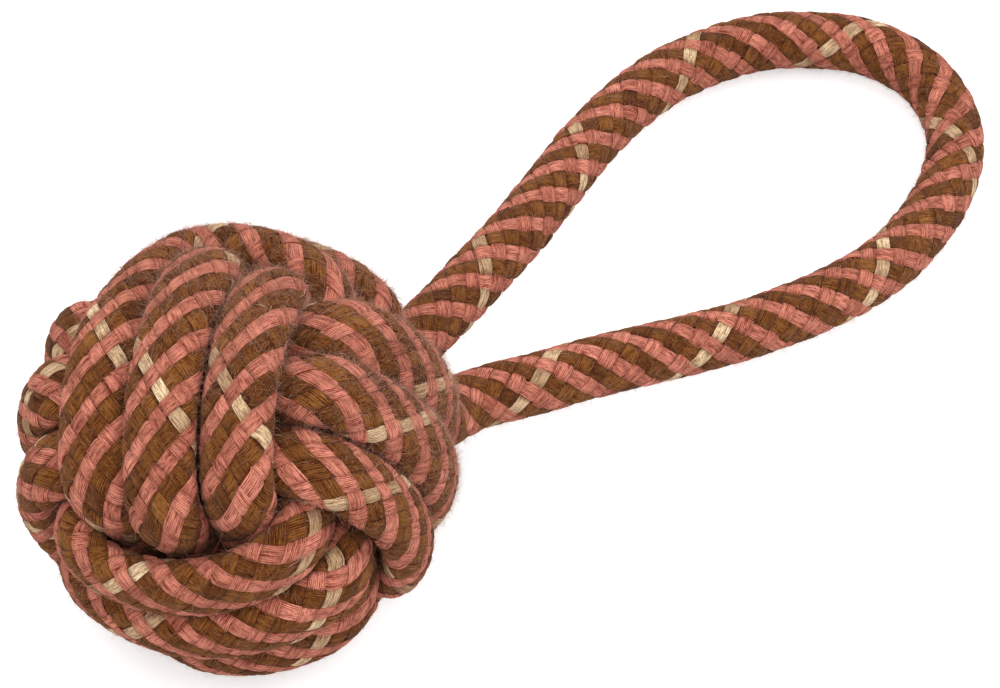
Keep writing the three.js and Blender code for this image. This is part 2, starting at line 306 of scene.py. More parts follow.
KNOT_TO_PART, BALL_CENTRE = rest_on_ground()


def in_handle_plane(along, across):
    reach = BALL_RADIUS + along
    return BALL_CENTRE + (reach * math.cos(HANDLE_DROOP), across, -reach * math.sin(HANDLE_DROOP))


def knot_line(full, squeezed):
    """The rope's points in the knot, the way across it and its width, and where windings end."""
    axes = [on_axes(winding, 0, 0, 1) for winding in range(3)]
    parts = []
    for winding in range(3):
        first = -TAIL_TURN if winding == 0 else -CROSS_TURN
        last = LAST_PASS + (LEAVE_TURN if winding == 2 else CROSS_TURN)
        turn = np.linspace(first, last, int((last - first) * TURN_STEPS))
        points = winding_points(winding, turn)
        width = squeezed + (full - squeezed) * outer_share(winding, turn)
        parts.append((points, np.repeat(axes[winding][None], len(points), 0), width))
        if winding < 2:
            cross = bend_between(
                points[-1], winding_heading(winding, last),
                winding_points(winding + 1, -CROSS_TURN),
                winding_heading(winding + 1, -CROSS_TURN), CROSS_REACH, CROSS_STEPS)[1:-1]
            share = np.linspace(0, 1, CROSS_STEPS)[1:-1, None]
            turned_axes = axes[winding] * (1 - share) + axes[winding + 1] * share
            parts.append((cross, turned_axes, np.full(len(cross), full)))
    points = np.vstack([part[0] for part in parts]) @ KNOT_TO_PART.T + BALL_CENTRE
    across = np.vstack([part[1] for part in parts]) @ KNOT_TO_PART.T
    width = np.concatenate([part[2] for part in parts])
    marks = np.cumsum([len(part[0]) for part in parts])
    half = CROSS_STEPS // 2
    return points, across, width, [marks[1] - half, marks[3] - half, marks[4] - 1]


def handle_line(start):
    """The rope's points from its last place in the knot, round the handle and back inside."""
    heading = KNOT_TO_PART @ winding_heading(2, LAST_PASS + LEAVE_TURN)
    route = [in_handle_plane(*place) for place in HANDLE_ROUTE + TUCKED_END]
    leaving = (route[1] - route[0]) / np.linalg.norm(route[1] - route[0])
    turning = start + heading * LEAVE_RUN
    bend = bend_between(turning, heading, route[0], leaving, LEAVE_REACH, LEAVE_STEPS)[:-1]
    return through([start, *bend, *route])[1:]


def pressed_on_ground(height):
    """Heights with what would sink into the ground pressed flat on it."""
    softness = 0.8
    return (height + np.sqrt(height**2 + softness**2)) / 2


class Rope:
    """The whole rope from its end in the knot, round the handle, to its end tucked in again.

    Lengths are in millimetres along the rope. The frame beside the centreline never twists about
    it, and the section is pressed in the knot and round in the handle.
    """

    STEP = 0.5

    def __init__(self, settings):
        full = STRAND_WIDTH * settings.fullness
        squeezed = settings.squeezed_width / MM
        points, across, width, ends = knot_line(full, squeezed)
        handle = handle_line(points[-1])
        handle_across = np.repeat(across[-1:], len(handle), 0)

        line = np.vstack([points, handle])
        lengths = np.concatenate([[0], np.cumsum(np.linalg.norm(np.diff(line, axis=0), axis=1))])
        self.length = lengths[-1]
        self.winding_ends = lengths[ends]
        self.knot_end = self.winding_ends[-1]
        self.at = np.arange(0, self.length, self.STEP)
        self.centre = self.settled(self.sampled(lengths, line), CENTRE_EVENED)
        sideways = self.settled(
            self.sampled(lengths, np.vstack([across, handle_across])), SIDEWAYS_EVENED)

        tangent = np.gradient(self.centre, axis=0)
        self.tangent = tangent / np.linalg.norm(tangent, axis=1)[:, None]
        self.normal = self.carried_normals()
        self.binormal = np.cross(self.tangent, self.normal)
        flat_angle = np.arctan2(
            np.sum(sideways * self.binormal, 1), np.sum(sideways * self.normal, 1))
        self.flat_angle = np.unwrap(flat_angle, period=math.pi)
        in_handle = smooth_step(
            self.at, self.knot_end - ROUND_BEFORE, self.knot_end + ROUND_BEYOND)
        held = self.flat_angle[int(self.knot_end / self.STEP)]
        self.flat_angle = np.where(self.at > self.knot_end, held, self.flat_angle)
        round_half = ROPE_DIAMETER / 2
        pressed = np.interp(self.at, lengths[:len(points)], width) / 2
        self.half_width = pressed * (1 - in_handle) + round_half * in_handle
        under = (full / 2 - pressed) / (full - squeezed) * 2
        thick = settings.strand_thickness * (1 - under) + settings.squeezed_thickness * under
        self.half_thick = thick / MM / 2 * (1 - in_handle) + round_half * in_handle
        lead = settings.knot_lead / MM * (1 - in_handle) + settings.handle_lead / MM * in_handle
        self.cells = np.concatenate([[0], np.cumsum(CARRIERS / lead[:-1] * self.STEP)])

    def sampled(self, lengths, values):
        return np.stack([np.interp(self.at, lengths, values[:, i]) for i in range(3)], 1)

    @staticmethod
    def settled(values, reach):
        """Values evened out along the rope, so that no stretch joins the next with a kink."""
        weights = np.hanning(2 * reach + 3)[1:-1]
        weights /= weights.sum()
        padded = np.pad(values, ((reach, reach), (0, 0)), mode="edge")
        evened = np.stack([np.convolve(padded[:, i], weights, "valid") for i in range(3)], 1)
        evened[[0, -1]] = values[[0, -1]]
        return evened

    def carried_normals(self):
        """A normal carried along the centreline with no twist about it."""
        normals = np.empty_like(self.centre)
        any_way = (0.3, 0.5, 0.8)
        start = np.cross(self.tangent[0], any_way)
        normals[0] = start / np.linalg.norm(start)
        for i in range(len(self.centre) - 1):
            chord = self.centre[i + 1] - self.centre[i]
            size = chord @ chord
            normal = normals[i] - chord * (2 / size * (chord @ normals[i]))
            tangent = self.tangent[i] - chord * (2 / size * (chord @ self.tangent[i]))
            turn = self.tangent[i + 1] - tangent
            size = turn @ turn
            if size > STRAIGHT:
                normal = normal - turn * (2 / size * (turn @ normal))
            normals[i + 1] = normal
        return normals

    def mix(self, values, length):
        """Values beside the centreline read off at any lengths along it."""
        flat = np.ravel(length)
        if values.ndim == 1:
            return np.interp(flat, self.at, values).reshape(np.shape(length))
        columns = [np.interp(flat, self.at, values[:, i]) for i in range(3)]
        return np.stack(columns, -1).reshape(*np.shape(length), 3)

    def length_at(self, cells):
        return np.interp(cells, self.cells, self.at)

    def surface(self, length, angle, rise):
        """Points on the rope's surface, raised or sunk by rise, with the outward direction."""
        normal = self.mix(self.normal, length)
        binormal = self.mix(self.binormal, length)
        outward = normal * np.cos(angle)[..., None] + binormal * np.sin(angle)[..., None]
        outward /= np.linalg.norm(outward, axis=-1, keepdims=True)
        turned = angle - self.mix(self.flat_angle, length)
        half_width = self.mix(self.half_width, length)
        half_thick = self.mix(self.half_thick, length)
        radius = 1 / np.hypot(np.cos(turned) / half_width, np.sin(turned) / half_thick)
        points = self.mix(self.centre, length) + outward * (radius + rise)[..., None]
        points[..., 2] = pressed_on_ground(points[..., 2])
        return points, outward


# Meshes

class Shape:
    """Quads gathered for one mesh, with each point's colour and its place on its yarn."""

    def __init__(self):
        self.points, self.quads, self.dyes, self.places = [], [], [], []
        self.count = 0

    def add_grid(self, points, dye, place, keep=None, closed=False):
        """A grid of points joined into quads; keep says which quads are made."""
        rows, columns = points.shape[:2]
        numbers = np.arange(rows * columns).reshape(rows, columns)
        if closed:
            numbers = np.hstack([numbers, numbers[:, :1]])
        quads = np.stack(
            [numbers[:-1, :-1], numbers[:-1, 1:], numbers[1:, 1:], numbers[1:, :-1]], -1)
        if keep is not None:
            quads = quads[np.broadcast_to(keep, quads.shape[:2])]
        quads = quads.reshape(-1, 4)
        used, quads = np.unique(quads, return_inverse=True)
        self.quads.append(quads.reshape(-1, 4) + self.count)
        self.points.append(points.reshape(-1, 3)[used])
        self.dyes.append(np.broadcast_to(dye, (rows, columns, 3)).reshape(-1, 3)[used])
        self.places.append(np.broadcast_to(place, (rows, columns, 3)).reshape(-1, 3)[used])
        self.count += len(used)

    def add_threads(self, points, dye):
        """Thin closed-section threads: points for each thread, step and side, and a colour each."""
        threads, steps, sides = points.shape[:3]
        numbers = np.arange(points[..., 0].size).reshape(threads, steps, sides)
        beside = np.roll(numbers, -1, axis=2)
        quads = np.stack([numbers[:, :-1], beside[:, :-1], beside[:, 1:], numbers[:, 1:]], -1)
        self.quads.append(quads.reshape(-1, 4) + self.count)
        self.points.append(points.reshape(-1, 3))
        self.dyes.append(np.repeat(dye, steps * sides, axis=0))
        self.places.append(np.zeros((numbers.size, 3)))
        self.count += numbers.size

    def make(self, name, material):
        points = np.vstack(self.points) * MM
        quads = np.vstack(self.quads)
        mesh = bpy.data.meshes.new(name)
        mesh.vertices.add(len(points))
        mesh.vertices.foreach_set("co", points.astype(np.float32).ravel())
        mesh.loops.add(quads.size)
        mesh.loops.foreach_set("vertex_index", quads.astype(np.int32).ravel())
        mesh.polygons.add(len(quads))
        mesh.polygons.foreach_set("loop_start", np.arange(0, quads.size, 4, dtype=np.int32))
        mesh.update(calc_edges=True)
        mesh.validate()
        mesh.shade_smooth()
        dye = mesh.attributes.new("dye", "FLOAT_COLOR", "POINT")
        colours = np.hstack([np.vstack(self.dyes), np.ones((self.count, 1))])
        dye.data.foreach_set("color", colours.astype(np.float32).ravel())
        place = mesh.attributes.new("place", "FLOAT_VECTOR", "POINT")
        place.data.foreach_set("vector", np.vstack(self.places).astype(np.float32).ravel())
        mesh.materials.append(material)
        piece = bpy.data.objects.new(name, mesh)
        bpy.context.scene.collection.objects.link(piece)
        return piece


# Points across a yarn in shares of its half width, the outermost sunk again as a skirt
ACROSS = np.array([-1, -1, -0.88, -0.4, 0.4, 0.88, 1, 1])
SKIRT = np.array([1, 0, 0, 0, 0, 0, 0, 1])
MIDDLE = 3
SKIRT_DEPTH = 0.6
# The share by which a skirt is darkened: painted shade where it sinks between the yarns
SKIRT_SHADE = 0.6
CROWN_POWER = 2.4
ROWS_PER_CELL = 6

# Half widths of the brown, the rose and the cream yarns, in shares of a yarn's room
KNOT_HALVES = (0.52, 0.455, 0.42)
HANDLE_HALVES = (0.475, 0.45, 0.43)

# How much one crossing differs from the next: in width and place, as shares, and in height
SWELL = 0.05
SWELL_LIMITS = (-1.5, 1)
SWAY = 0.035
SWAY_LIMITS = (-1.5, 1.5)
LIFT = 0.06

# How much its shade differs, for rose and for brown yarns, and how far at most
ROSE_UNEVEN = 0.11
BROWN_UNEVEN = 0.21
TONE_LIMITS = (0.6, 1.4)

# How much painted end shade a crossing gets where it dips: the mean, the spread and the limits
DIP_MEAN = 0.75
DIP_SPREAD = 0.3
DIP_LIMITS = (0.2, 1.3)

# Painted shade among the yarns is warm: red, green and blue fall by these powers of the tone
WARM_SHADE = np.array([1, 1.3, 1.45])

# Yarns and fibres nearer to the ball's centre than this are left out, as strands hide most of them
HIDDEN_RADIUS = 30.5
FIBRE_RADIUS = 36.0

# Yarns that face inwards past this cosine are left out too, up to this far outside that radius
INWARD_FACING = -0.3
INWARD_REACH = 5.5

# The painted shade deep in the knot: what is left at the hidden radius, and how far out it goes
DEEP_SHADE = 0.25
DEEP_REACH = 8.5

# The texture's scale along a yarn, and what sets each yarn's texture apart
RUN_SCALE = 1.4
YARN_APART = 2.37
LAY_APART = 11.3


def yarn_dyes(settings):
    """Each carrier's colour: brown and rose by turns, and one cream yarn laid the other way."""
    stripe = np.array([tuple(settings.rose if i % 2 else settings.brown) for i in range(CARRIERS)])
    counter = stripe.copy()
    counter[0] = tuple(settings.cream)
    return stripe, counter


def over_wave(phase, wider):
    """1 where a yarn crosses a brown yarn, -1 where a rose one, level for most of each crossing.

    wider is how much wider a brown yarn is than a rose one, in shares of a yarn's room.
    """
    steep = 1.5
    even = phase - wider / 2 * np.sin(math.pi * phase)
    return np.tanh(steep * np.cos(math.pi * even)) / math.tanh(steep)


def add_braid(shape, rope, settings, start, end, seed, in_knot):
    """The flat yarns of the braid between two lengths along the rope."""
    crimp = (settings.crimp if in_knot else settings.handle_crimp) / MM
    crown = settings.crown / MM
    stripe, counter = yarn_dyes(settings)
    brown_half, rose_half, cream_half = KNOT_HALVES if in_knot else HANDLE_HALVES
    first, last = np.interp([start, end], rope.at, rope.cells)
    random = np.random.default_rng(seed)
    for laid, dyes in ((1, stripe), (-1, counter)):
        for yarn in range(CARRIERS):
            begin = round((2 * first + laid * yarn) * ROWS_PER_CELL)
            stop = round((2 * last + laid * yarn) * ROWS_PER_CELL)
            crossing = np.arange(begin, stop + 1) / ROWS_PER_CELL
            cell = np.floor(crossing + 0.5).astype(int)
            cell -= cell.min()
            chances = random.normal(0, 1, (5, cell.max() + 2))
            lift, shade, sway, swell, dip_chance = chances[:, cell, None]
            half = rose_half if yarn % 2 else brown_half
            if laid < 0 and yarn == 0:
                half = cream_half
            half = half * (1 + SWELL * np.clip(swell, *SWELL_LIMITS))
            side = yarn + ACROSS * half + SWAY * np.clip(sway, *SWAY_LIMITS)
            along = laid * crossing[:, None]
            length = rope.length_at(laid * (along - side) / 2)
            angle = math.pi / CARRIERS * (along + side)
            over = over_wave(along, brown_half - rose_half) * (laid if yarn % 2 else -laid)
            arch = crown * np.abs(ACROSS) ** CROWN_POWER + SKIRT * SKIRT_DEPTH
            rise = crimp * (over - 1) - arch + LIFT * lift * (over > 0)
            points, outward = rope.surface(length, angle, rise)

            # Painted shade: darker where a yarn dips under the next and on its sunk skirts
            dip = np.clip(DIP_MEAN + DIP_SPREAD * dip_chance, *DIP_LIMITS) * (1 - over) / 2
            uneven = ROSE_UNEVEN if yarn % 2 else BROWN_UNEVEN
            tone = np.clip(1 + uneven * shade, *TONE_LIMITS)
            tone = tone * (1 - settings.end_shade * dip) * (1 - SKIRT_SHADE * SKIRT)
            keep = None
            if in_knot:
                from_centre = points - BALL_CENTRE
                depth = np.linalg.norm(from_centre, axis=-1)
                # Painted shade deep in the knot, darker towards the ball's centre
                lit = smooth_step(depth, HIDDEN_RADIUS, HIDDEN_RADIUS + DEEP_REACH)
                tone = tone * (DEEP_SHADE + (1 - DEEP_SHADE) * lit)
                facing = np.sum(from_centre * outward, -1) / depth
                shown = (facing > INWARD_FACING) | (depth > HIDDEN_RADIUS + INWARD_REACH)
                shown = (shown & (depth > HIDDEN_RADIUS))[:, MIDDLE, None]
                keep = shown[:-1] | shown[1:]
            dye = dyes[yarn] * np.clip(tone, 0, None)[..., None] ** WARM_SHADE
            run = length[:, MIDDLE, None] * RUN_SCALE
            apart = yarn * YARN_APART + (laid + 1) * LAY_APART
            place = np.stack(np.broadcast_arrays(run, ACROSS, apart), -1)
            shape.add_grid(points, dye, place, keep)


def yarn_on_top(rope, settings, length, angle):
    """The colour of the yarn that lies on top at places on the rope's surface."""
    stripe, counter = yarn_dyes(settings)
    around = CARRIERS / (2 * math.pi) * angle
    cells = np.interp(length, rope.at, rope.cells)
    striped = np.round(around - cells).astype(int)
    countered = np.round(around + cells).astype(int)
    counter_over = ((striped + countered) % 2 == 0)[..., None]
    return np.where(counter_over, counter[countered % CARRIERS], stripe[striped % CARRIERS])


# Loose fibres are short fluff and a few long strays; sizes are in millimetres
STRAY_SHARE = 0.002
STRAY_REACH = (2.5, 5)
STRAY_LIFT = 0.4
STRAY_THICK = 0.05
FLUFF_THICK = 0.027
FLUFF_HIGHEST = 2.0
FLUFF_FADE = 0.6
FIBRE_CURL = 1.1
FIBRE_STEPS = 3
FIBRE_SIDES = np.radians([90, 210, 330])
FIBRE_ROOT = 0.1
FIBRE_RISE_POWER = 0.8
ROOT_THICKNESS = 1.1
TIP_THICKNESS = 0.4

# The fluff's reach is lognormal, by its mean and spread, and its lift gamma, by shape and scale
FLUFF_REACH = (0.4, 0.45)
FLUFF_LIFT = (1.6, 0.5)

# The worn and fluffy side of the ball, where it is fully so, and the share of fluff elsewhere
WORN_SIDE = np.array([0.81, 0.21, 0.55])
WORN_FULLY = 0.75
UNWORN_SHARE = 0.1

# Fibres that face inwards past this cosine are left out
FIBRE_FACING = -0.1


def add_fibres(shape, rope, settings, start, end, seed, in_knot):
    """Loose fibres that lie and stand on the yarns."""
    random = np.random.default_rng(seed)
    density = settings.knot_fibres if in_knot else settings.handle_fibres
    count = int((end - start) * density)
    length = random.uniform(start, end, count)
    angle = random.uniform(0, 2 * math.pi, count)
    if in_knot:
        root, outward = rope.surface(length, angle, 0 * length)
        from_centre = root - BALL_CENTRE
        depth = np.linalg.norm(from_centre, axis=1)
        facing = np.sum(from_centre * outward, 1) / depth
        worn = smooth_step(from_centre @ WORN_SIDE / depth, 0, WORN_FULLY)
        grown = random.random(count) < UNWORN_SHARE + (1 - UNWORN_SHARE) * worn
        shown = (depth > FIBRE_RADIUS) & (facing > FIBRE_FACING) & grown
        length, angle = length[shown], angle[shown]
    count = len(length)
    stray = random.random(count) < STRAY_SHARE
    long = random.uniform(*STRAY_REACH, count)
    reach = np.where(stray, long, random.lognormal(*FLUFF_REACH, count))
    lift = np.minimum(random.gamma(*FLUFF_LIFT, count), FLUFF_HIGHEST)
    lift = np.where(stray, STRAY_LIFT, lift)
    heading = random.uniform(0, 2 * math.pi, count)
    curl = random.normal(0, FIBRE_CURL, count)

    share = np.linspace(0, 1, FIBRE_STEPS)[None]
    turn = heading[:, None] + curl[:, None] * share
    step = reach[:, None] / FIBRE_STEPS
    along = length[:, None] + np.cumsum(np.cos(turn) * step, axis=1)
    round_it = angle[:, None] + np.cumsum(np.sin(turn) * step, axis=1) / (ROPE_DIAMETER / 2)
    centre, outward = rope.surface(
        np.clip(along, 0, rope.length), round_it,
        lift[:, None] * share**FIBRE_RISE_POWER - FIBRE_ROOT)
    ahead = np.gradient(centre, axis=1)
    beside = np.cross(ahead, outward)
    beside /= np.linalg.norm(beside, axis=-1, keepdims=True)
    taper = ROOT_THICKNESS + (TIP_THICKNESS - ROOT_THICKNESS) * share
    tapered = np.where(stray, STRAY_THICK, FLUFF_THICK)[:, None] * taper
    points = np.stack([
        centre + (outward * math.sin(side) + beside * math.cos(side)) * tapered[..., None]
        for side in FIBRE_SIDES], 2)
    dye = yarn_on_top(rope, settings, length, angle)
    faded = dye * (1 - FLUFF_FADE) + np.array(settings.fluff) * FLUFF_FADE
    shape.add_threads(points, np.where(stray[:, None], np.array(settings.lint), faded))


# The filler's rings, sides and depth under the braid, its painted shade and its texture's place
FILLER_STEP = 1.5
FILLER_SIDES = 16
FILLER_DEPTH = 1.25
FILLER_SHADE = 0.25
FILLER_APART = 40


def add_filler(shape, rope, settings, start, end):
    """The filler, a tube inside the braid, shows between yarns as their colour in painted shade."""
    length, angle = np.meshgrid(
        np.arange(start, end + FILLER_STEP, FILLER_STEP),
        np.linspace(0, 2 * math.pi, FILLER_SIDES, endpoint=False), indexing="ij")
    points, _ = rope.surface(length, angle, 0 * length - FILLER_DEPTH)
    # Painted shade: the colour of the yarn on top, darkened
    dye = (yarn_on_top(rope, settings, length, angle) * FILLER_SHADE) ** WARM_SHADE
    place = np.stack(np.broadcast_arrays(length, 0.0, FILLER_APART), -1)
    shape.add_grid(points, dye, place, closed=True)


# Materials

class Link:
    """A shader socket; arithmetic on it adds Math nodes to its tree."""

    def __init__(self, tree, socket):
        self.tree, self.socket = tree, socket

    def node(self, kind, settings=None, inputs=None, output=0):
        """Any node: its settings are set first, then its sockets' values or links."""
        added = self.tree.nodes.new(kind)
        for name, value in (settings or {}).items():
            setattr(added, name, value)
        for name, value in (inputs or {}).items():
            if isinstance(value, Link):
                self.tree.links.new(value.socket, added.inputs[name])
            else:
                added.inputs[name].default_value = value
        return Link(self.tree, added.outputs[output] if len(added.outputs) else None)

    def output(self, name):
        """Another output of the node that this socket belongs to."""
        return Link(self.tree, self.socket.node.outputs[name])

    def maths(self, operation, *operands):
        return self.node("ShaderNodeMath", {"operation": operation}, dict(enumerate(operands)))

    def __add__(self, other):
        return self.maths("ADD", self, other)

    def __sub__(self, other):
        return self.maths("SUBTRACT", self, other)

    def __rsub__(self, other):
        return self.maths("SUBTRACT", other, self)

    def __mul__(self, other):
        return self.maths("MULTIPLY", self, other)

    def __pow__(self, other):
        return self.maths("POWER", self, other)

    def __rpow__(self, other):
        return self.maths("POWER", other, self)

    __radd__ = __add__
    __rmul__ = __mul__


def new_material(name):
    """An empty material and a link to start its nodes from."""
    material = bpy.data.materials.new(name)
    material.use_nodes = True
    material.node_tree.nodes.clear()
    return material, Link(material.node_tree, None)


def mixed(start, factor, first, second):
    """A mix of two colours."""
    sockets = {"Factor": factor, 6: first, 7: second}
    return start.node("ShaderNodeMix", {"data_type": "RGBA"}, sockets, 2)


def finish_material(start, shader):
    start.node("ShaderNodeOutputMaterial", inputs={"Surface": shader})


# How far threads wander in a yarn, and how far apart the yarns' textures lie
WANDER = 0.16
APART_SCALE = 3.1

# How much fibres and streaks weigh in a yarn's light and dark, beside flecks
FIBRE_LIGHT = 1.8
STREAK_LIGHT = 1.3

# A dye's colour in the grooves of the threads, with painted shade, and on their crests, as factors
# of it
DEEP_DYE = (0.30, 0.09, 0.04)
PALE_DYE = (1.43, 1.58, 1.70)

# How much each texture weighs in a yarn's relief
RIDGE_RELIEF = 0.5
FIBRE_RELIEF = 0.5
FLECK_RELIEF = 0.6
STREAK_RELIEF = 0.5

# A loose fibre's tone as a factor of its colour: the least, and how far it spreads from there
LEAST_TONE = 0.65
TONE_SPREAD = 0.7

# The two tones that rubber and paper run between
RUBBER_TONES = ((0.055, 0.05, 0.047, 1), (0.09, 0.083, 0.077, 1))
PAPER_TONES = ((0.90, 0.90, 0.90, 1), (0.94, 0.94, 0.94, 1))


def cotton_yarn(settings):
    """Matt cotton: fine threads side by side in each flat yarn, worn paler and hazy on top."""
    material, start = new_material("cotton_yarn")
    dye = start.node("ShaderNodeAttribute", {"attribute_name": "dye"}, output="Color")
    place = start.node("ShaderNodeAttribute", {"attribute_name": "place"}, output="Vector")
    run = start.node("ShaderNodeSeparateXYZ", inputs={"Vector": place})
    side, apart = run.output("Y"), run.output("Z")

    def noise(along, across, detail=2.0, roughness=0.6):
        at = start.node("ShaderNodeCombineXYZ", inputs={
            "X": run * along, "Y": side * across, "Z": apart * APART_SCALE})
        return start.node("ShaderNodeTexNoise", {"noise_dimensions": "3D"}, {
            "Vector": at, "Scale": 1.0, "Detail": detail, "Roughness": roughness}, "Fac")

    wander = noise(along=0.3, across=1.3) - 0.5
    thread = (side + wander * WANDER) * (settings.plies * math.pi / 2)
    ridge = start.maths("ABSOLUTE", start.maths("COSINE", thread))
    groove = (1 - ridge) ** 2.0
    depth = noise(along=0.45, across=2.6, detail=1.0)
    fibres = noise(along=0.34, across=9.0, detail=3.0, roughness=0.65)
    streak = noise(along=0.4, across=2.4)
    fleck = noise(along=2.4, across=3.6, detail=3.0, roughness=0.7)
    cover = noise(along=1.5, across=7.0, detail=3.0, roughness=0.7)
    # Painted shade in the grooves between the threads, deeper in some places than others
    dark = groove * start.node("ShaderNodeMapRange", inputs={
        "Value": depth, "From Min": 0.35, "From Max": 0.65, "To Min": 0.05, "To Max": 0.8})
    light = start.node("ShaderNodeMapRange", inputs={
        "Value": fibres * FIBRE_LIGHT + streak * STREAK_LIGHT + fleck - dark,
        "From Min": 1.5, "From Max": 2.25})
    deep, pale = (start.node("ShaderNodeVectorMath", {"operation": "MULTIPLY"}, {0: dye, 1: factor})
                  for factor in (DEEP_DYE, PALE_DYE))
    haze = start.node("ShaderNodeMapRange", inputs={
        "Value": cover, "From Min": 0.47, "From Max": 0.7, "To Max": 0.14})
    dyed = mixed(start, light, deep, pale)
    colour = mixed(start, haze * light, dyed, (*settings.cream, 1))
    height = (ridge * RIDGE_RELIEF + fibres * FIBRE_RELIEF + fleck * FLECK_RELIEF
              + streak * STREAK_RELIEF)
    bump = start.node("ShaderNodeBump", inputs={
        "Strength": 0.8, "Distance": 0.0003, "Height": height}, output="Normal")
    shader = start.node("ShaderNodeBsdfPrincipled", inputs={
        "Base Color": colour, "Roughness": 0.95, "Normal": bump, "Specular IOR Level": 0.12,
        "Sheen Weight": 0.1, "Sheen Roughness": 0.4, "Sheen Tint": (1.0, 0.68, 0.56, 1)})
    finish_material(start, shader)
    return material


def loose_fibre():
    """Single cotton fibres: their own yarn's colour, a little uneven."""
    material, start = new_material("loose_fibre")
    dye = start.node("ShaderNodeAttribute", {"attribute_name": "dye"}, output="Color")
    coordinates = start.node("ShaderNodeTexCoord", output="Object")
    uneven = start.node("ShaderNodeTexNoise", inputs={
        "Vector": coordinates, "Scale": 700.0, "Detail": 2.0}, output="Fac")
    colour = start.node("ShaderNodeVectorMath", {"operation": "SCALE"}, {
        0: dye, "Scale": uneven * TONE_SPREAD + LEAST_TONE})
    shader = start.node("ShaderNodeBsdfPrincipled", inputs={
        "Base Color": colour, "Roughness": 0.9, "Specular IOR Level": 0.2})
    finish_material(start, shader)
    return material


def core_rubber():
    """Dull moulded rubber with a fine mottle."""
    material, start = new_material("core_rubber")
    coordinates = start.node("ShaderNodeTexCoord", output="Object")
    mottle = start.node("ShaderNodeTexNoise", inputs={
        "Vector": coordinates, "Scale": 260.0, "Detail": 4.0}, output="Fac")
    colour = mixed(start, mottle, *RUBBER_TONES)
    bump = start.node("ShaderNodeBump", inputs={
        "Strength": 0.3, "Distance": 0.0003, "Height": mottle}, output="Normal")
    shader = start.node("ShaderNodeBsdfPrincipled", inputs={
        "Base Color": colour, "Roughness": 0.75, "Normal": bump})
    finish_material(start, shader)
    return material


def named_material(name, make, *arguments):
    return bpy.data.materials.get(name) or make(*arguments)


# Operators

class TOY_OT_core(bpy.types.Operator):
    """Give the core ball its rubber"""

    bl_idname = "toy.core"
    bl_label = "Core ball"

    def execute(self, context):
        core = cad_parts["core_ball"]
        core.data.materials.clear()
        core.data.materials.append(core_rubber())
        return {"FINISHED"}


# Random seeds of the yarns and of the loose fibres, the first of each group
WINDING_SEEDS = (10, 30)
HANDLE_SEEDS = (21, 31)

# The braid stops this far before the rope's end, in millimetres
END_CUT = 1


def dressed(name, rope, settings, seeds, first, stretches, in_knot=False):
    """The braid and the loose fibres of stretches of rope, as two pieces; seeds run from first."""
    braid, fluff = Shape(), Shape()
    for number, (start, end) in enumerate(stretches, first):
        add_braid(braid, rope, settings, start, end, seeds[0] + number, in_knot)
        add_filler(braid, rope, settings, start, end)
        add_fibres(fluff, rope, settings, start, end, seeds[1] + number, in_knot)
    pieces = (braid.make(f"{name}_braid", named_material("cotton_yarn", cotton_yarn, settings)),
              fluff.make(f"{name}_fibres", named_material("loose_fibre", loose_fibre)))
    return pieces


class TOY_OT_windings(bpy.types.Operator):
    """Braid the three windings of the ball knot"""

    bl_idname = "toy.windings"
    bl_label = "Knot windings"

    def execute(self, context):
        settings = context.scene.toy_rope
        rope = Rope(settings)
        start = 0.0
        for winding, name in enumerate(("first_winding", "second_winding", "third_winding")):
            end = rope.winding_ends[winding]
            pieces = dressed(
                name, rope, settings, WINDING_SEEDS, winding, [(start, end)], in_knot=True)
            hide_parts(name)
            for piece in pieces:
                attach(piece, "ball")
            start = end
        return {"FINISHED"}


def bend_ends(middle):
    """Where a bend of the handle starts and ends on its middle line, in metres."""
    ends = (middle - BEND_LENGTH / 2, middle + BEND_LENGTH / 2)
    return [tuple(in_handle_plane(distance, 0) * MM) for distance in ends]


class TOY_OT_handle(bpy.types.Operator):
    """Braid the loop handle: its legs and its bow"""

    bl_idname = "toy.handle"
    bl_label = "Loop handle"

    def execute(self, context):
        settings = context.scene.toy_rope
        rope = Rope(settings)
        split = (ROOT_BEND_AT + FOLD_BEND_AT) / 2
        reach = (rope.centre[:, 0] - BALL_CENTRE[0]) / math.cos(HANDLE_DROOP) - BALL_RADIUS
        beyond = rope.at[(rope.at > rope.knot_end) & (reach > split)]
        lower, upper = beyond[0], beyond[-1]

        stretches = (rope.knot_end, lower), (upper, rope.length - END_CUT)
        legs = dressed("handle_legs", rope, settings, HANDLE_SEEDS, 0, stretches)
        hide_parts("lower_leg_root", "lower_root_bend", "lower_leg",
                    "upper_leg_root", "upper_root_bend", "upper_leg")
        for piece in legs:
            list(bend_ends(ROOT_BEND_AT))
            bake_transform(piece)

        bow = dressed("handle_bow", rope, settings, HANDLE_SEEDS, 2, [(lower, upper)])
        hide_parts("lower_fold_bend", "loop_bow", "upper_fold_bend")
        for piece in bow:
            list(bend_ends(FOLD_BEND_AT))
            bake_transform(piece)
        return {"FINISHED"}


def aim(place, target, roll=0.0):
    """The matrix of a lamp or camera at a place that looks at a target."""
    back = (Vector(place) - Vector(target)).normalized()
    right = Vector((0, 0, 1)).cross(back).normalized()
    up = back.cross(right)
    turn = Matrix((right, up, back)).transposed() @ Matrix.Rotation(roll, 3, "Z")
    return Matrix.Translation(place) @ turn.to_4x4()


def seen_white(start):
    """1 for rays that look at the white studio, straight or in a piece, 0 for those that light."""
    camera = start.node("ShaderNodeLightPath", output="Is Camera Ray")
    looking = camera + camera.output("Is Glossy Ray") + camera.output("Is Transmission Ray")
    return start.maths("MINIMUM", looking, 1.0)


